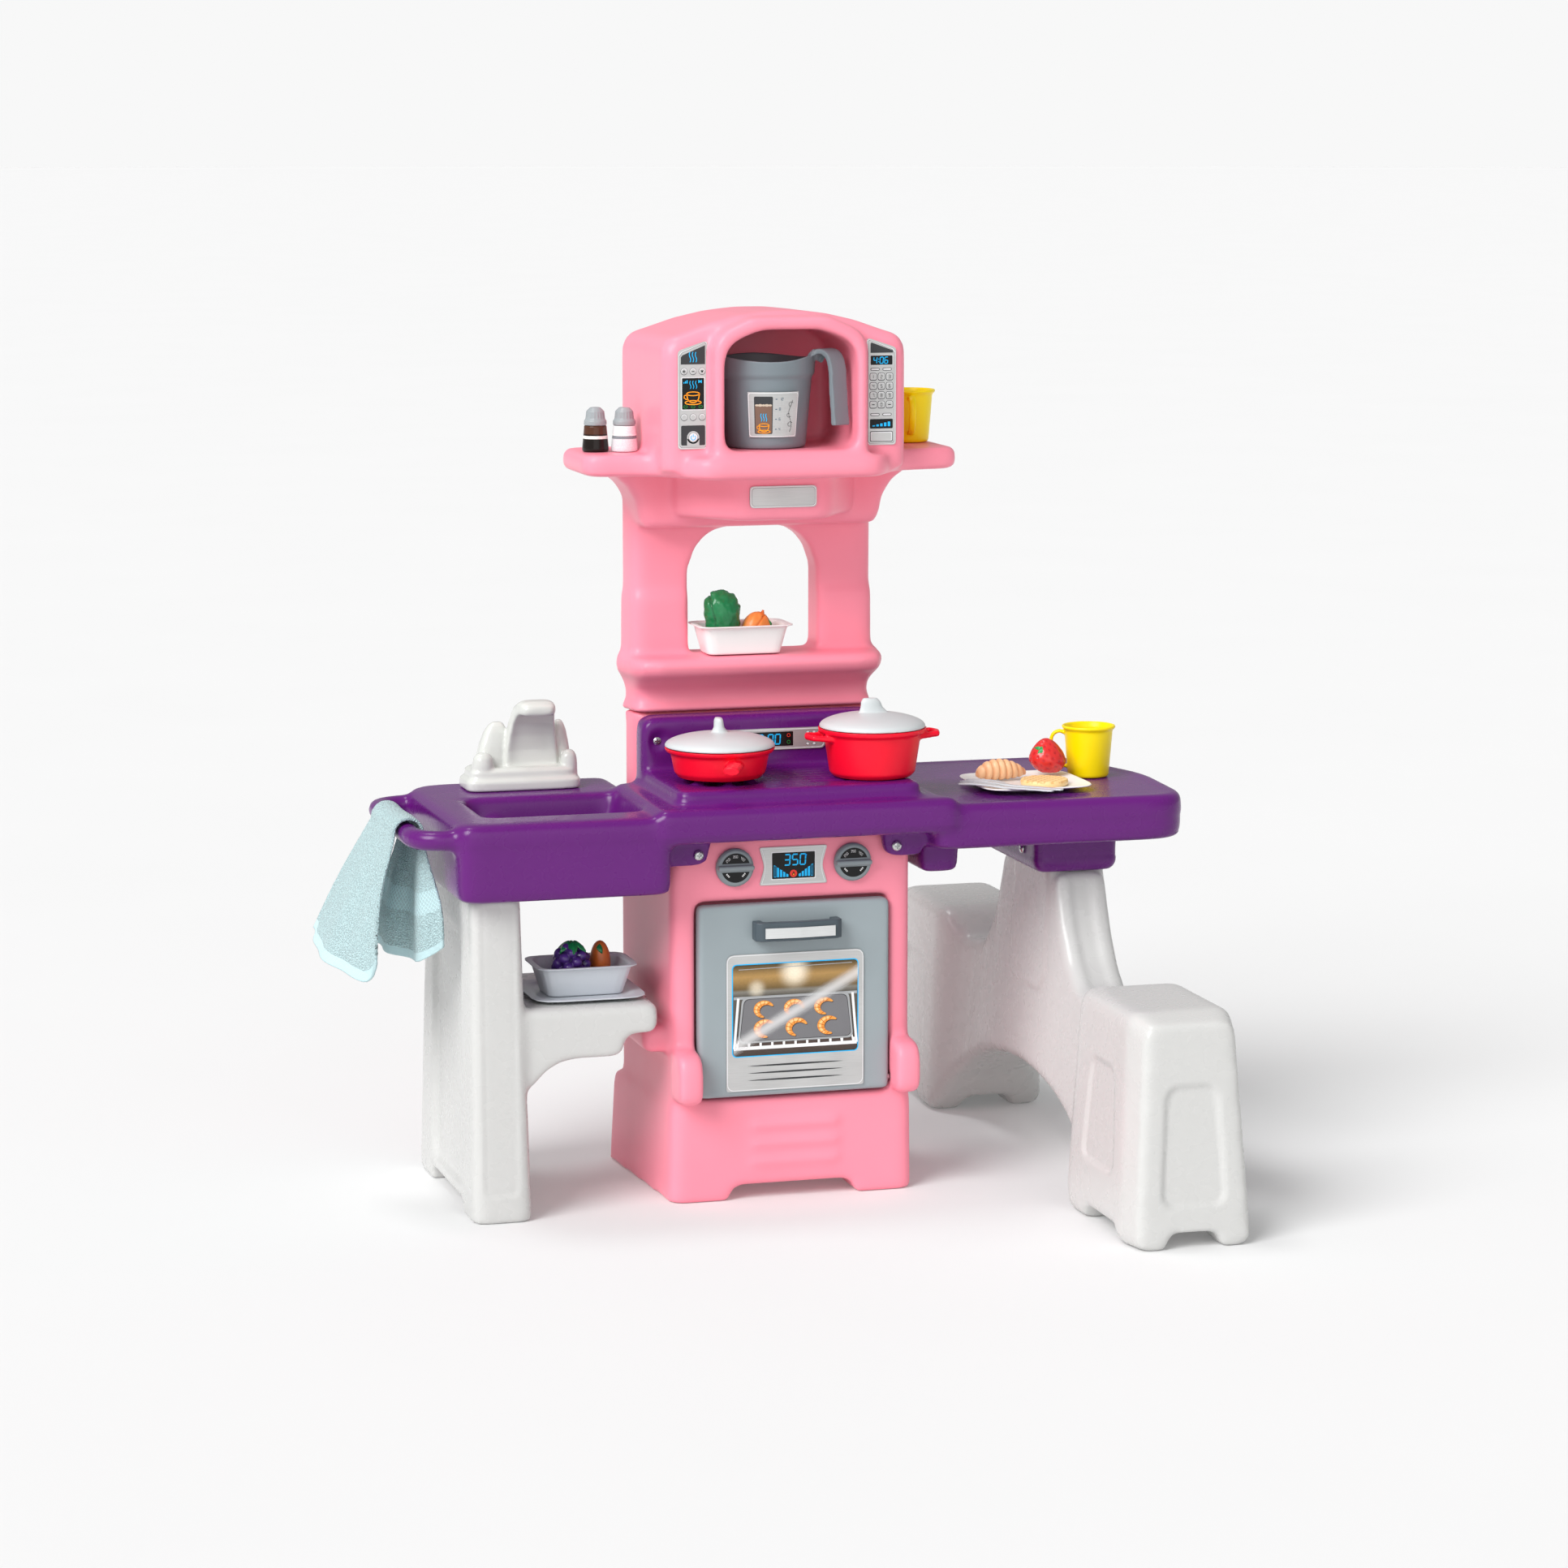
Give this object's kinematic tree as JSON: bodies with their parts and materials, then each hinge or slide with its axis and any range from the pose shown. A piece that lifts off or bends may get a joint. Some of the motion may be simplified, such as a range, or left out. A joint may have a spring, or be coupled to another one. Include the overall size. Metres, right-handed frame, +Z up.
{
  "type": "toy kitchen",
  "caption": "Moulded toy kitchen: oven tower with niche and window, purple counter with sink, hob and table, swing-down oven door, two-seat bench and play dishes.",
  "frame": {"origin": "middle of the whole set's bounding box, on the floor", "axes": "+Z up, the oven door faces -Y, the sink is at -X and the table and bench are at +X"},
  "size_m": [0.985, 0.956, 1.0325],
  "materials": {
    "pink_shell": "smooth rotomoulded polyethylene, soft sheen",
    "purple_shell": "smooth rotomoulded polyethylene, soft sheen",
    "grey_shell": "rotomoulded polyethylene, lightly textured",
    "faucet_white": "glossy moulded plastic",
    "print_silver": "printed silver film",
    "print_white": "printed white film",
    "door_grey": "moulded grey plastic",
    "dark_grey": "moulded dark grey plastic",
    "mid_grey": "moulded grey plastic",
    "steel": "zinc plated steel screws and pins",
    "red": "glossy moulded plastic",
    "lid_grey": "glossy moulded plastic",
    "yellow": "glossy moulded plastic",
    "white": "glossy moulded plastic",
    "black": "glossy moulded plastic",
    "tray_grey": "glossy moulded plastic",
    "green": "glossy blow-moulded play food",
    "carrot": "glossy blow-moulded play food",
    "grape": "glossy blow-moulded play food",
    "croissant": "glossy blow-moulded play food",
    "waffle": "glossy moulded play food",
    "strawberry": "glossy blow-moulded play food",
    "terry": "cotton terry cloth"
  },
  "bodies": {
    "kitchen": {"upper_tower": "pink_shell", "oven_cabinet": "pink_shell", "countertop": "purple_shell", "side_leg": "grey_shell", "bench": "grey_shell", "faucet": "faucet_white", "clock_panel": "print_white", "oven_display": "print_silver", "coffee_panel": "print_silver", "microwave_panel": "print_silver", "name_plate": "print_silver", "door_pin_left": "steel", "door_pin_right": "steel", "backsplash_screw_left": "steel", "backsplash_screw_right": "steel", "apron_screw_left": "steel", "apron_screw_right": "steel", "bench_screw_1": "steel", "bench_screw_2": "steel", "towel": "terry"},
    "oven_door": {"oven_door": "door_grey", "door_window_label": "print_silver", "door_handle": "dark_grey", "handle_strip": "print_silver"},
    "knob_left": {"knob_left": "door_grey"},
    "knob_right": {"knob_right": "door_grey"},
    "pan": {"pan": "red"},
    "pan_lid": {"pan_lid": "lid_grey"},
    "pot": {"pot": "red"},
    "pot_lid": {"pot_lid": "lid_grey"},
    "jug": {"jug": "mid_grey", "jug_label": "print_silver"},
    "pepper_shaker": {"pepper_shaker_body": "black", "pepper_shaker_cap": "mid_grey"},
    "salt_shaker": {"salt_shaker_body": "white", "salt_shaker_cap": "mid_grey"},
    "shelf_cup": {"shelf_cup": "yellow"},
    "table_cup": {"table_cup": "yellow"},
    "plate": {"plate": "white"},
    "croissant": {"croissant": "croissant"},
    "waffle": {"waffle": "waffle"},
    "strawberry": {"strawberry": "strawberry"},
    "fork": {"fork": "lid_grey"},
    "knife": {"knife": "lid_grey"},
    "window_bowl": {"window_bowl": "white"},
    "broccoli": {"broccoli": "green"},
    "carrot": {"carrot": "carrot"},
    "shelf_plate": {"shelf_plate": "tray_grey"},
    "shelf_bowl": {"shelf_bowl": "tray_grey"},
    "grapes": {"grapes": "grape"},
    "orange": {"orange": "carrot"}
  },
  "joints": [
    {"name": "oven_door_hinge", "type": "hinge", "parent": "kitchen", "child": "oven_door", "pos_m": [0.01345, -0.118, 0.137], "axis": [1, 0, 0], "range_deg": [0, 90]},
    {"name": "knob_left_turn", "type": "hinge", "parent": "kitchen", "child": "knob_left", "pos_m": [-0.05755, -0.12, 0.3955], "axis": [0, -1, 0], "continuous": true},
    {"name": "knob_right_turn", "type": "hinge", "parent": "kitchen", "child": "knob_right", "pos_m": [0.08445, -0.12, 0.3955], "axis": [0, -1, 0], "continuous": true},
    {"name": "pan_lift", "type": "slide", "parent": "kitchen", "child": "pan", "axis": [0, 0, 1], "range_m": [0, 0.1]},
    {"name": "pan_lid_lift", "type": "slide", "parent": "pan", "child": "pan_lid", "axis": [0, 0, 1], "range_m": [0, 0.06]},
    {"name": "pot_lift", "type": "slide", "parent": "kitchen", "child": "pot", "axis": [0, 0, 1], "range_m": [0, 0.1]},
    {"name": "pot_lid_lift", "type": "slide", "parent": "pot", "child": "pot_lid", "axis": [0, 0, 1], "range_m": [0, 0.06]},
    {"name": "jug_pull", "type": "slide", "parent": "kitchen", "child": "jug", "axis": [0, -1, 0], "range_m": [0, 0.25]},
    {"name": "pepper_lift", "type": "slide", "parent": "kitchen", "child": "pepper_shaker", "axis": [0, 0, 1], "range_m": [0, 0.1]},
    {"name": "salt_lift", "type": "slide", "parent": "kitchen", "child": "salt_shaker", "axis": [0, 0, 1], "range_m": [0, 0.1]},
    {"name": "shelf_cup_lift", "type": "slide", "parent": "kitchen", "child": "shelf_cup", "axis": [0, 0, 1], "range_m": [0, 0.1]},
    {"name": "table_cup_lift", "type": "slide", "parent": "kitchen", "child": "table_cup", "axis": [0, 0, 1], "range_m": [0, 0.1]},
    {"name": "plate_lift", "type": "slide", "parent": "kitchen", "child": "plate", "axis": [0, 0, 1], "range_m": [0, 0.1]},
    {"name": "croissant_lift", "type": "slide", "parent": "plate", "child": "croissant", "axis": [0, 0, 1], "range_m": [0, 0.05]},
    {"name": "waffle_lift", "type": "slide", "parent": "plate", "child": "waffle", "axis": [0, 0, 1], "range_m": [0, 0.05]},
    {"name": "strawberry_lift", "type": "slide", "parent": "plate", "child": "strawberry", "axis": [0, 0, 1], "range_m": [0, 0.05]},
    {"name": "fork_lift", "type": "slide", "parent": "plate", "child": "fork", "axis": [0, 0, 1], "range_m": [0, 0.05]},
    {"name": "knife_lift", "type": "slide", "parent": "plate", "child": "knife", "axis": [0, 0, 1], "range_m": [0, 0.05]},
    {"name": "window_bowl_pull", "type": "slide", "parent": "kitchen", "child": "window_bowl", "axis": [0, -1, 0], "range_m": [0, 0.28]},
    {"name": "broccoli_lift", "type": "slide", "parent": "window_bowl", "child": "broccoli", "axis": [0, 0, 1], "range_m": [0, 0.045]},
    {"name": "carrot_lift", "type": "slide", "parent": "window_bowl", "child": "carrot", "axis": [0, 0, 1], "range_m": [0, 0.045]},
    {"name": "shelf_plate_pull", "type": "slide", "parent": "kitchen", "child": "shelf_plate", "axis": [0, -1, 0], "range_m": [0, 0.25]},
    {"name": "shelf_bowl_lift", "type": "slide", "parent": "shelf_plate", "child": "shelf_bowl", "axis": [0, 0, 1], "range_m": [0, 0.035]},
    {"name": "grapes_lift", "type": "slide", "parent": "shelf_bowl", "child": "grapes", "axis": [0, 0, 1], "range_m": [0, 0.045]},
    {"name": "orange_lift", "type": "slide", "parent": "shelf_bowl", "child": "orange", "axis": [0, 0, 1], "range_m": [0, 0.045]}
  ]
}
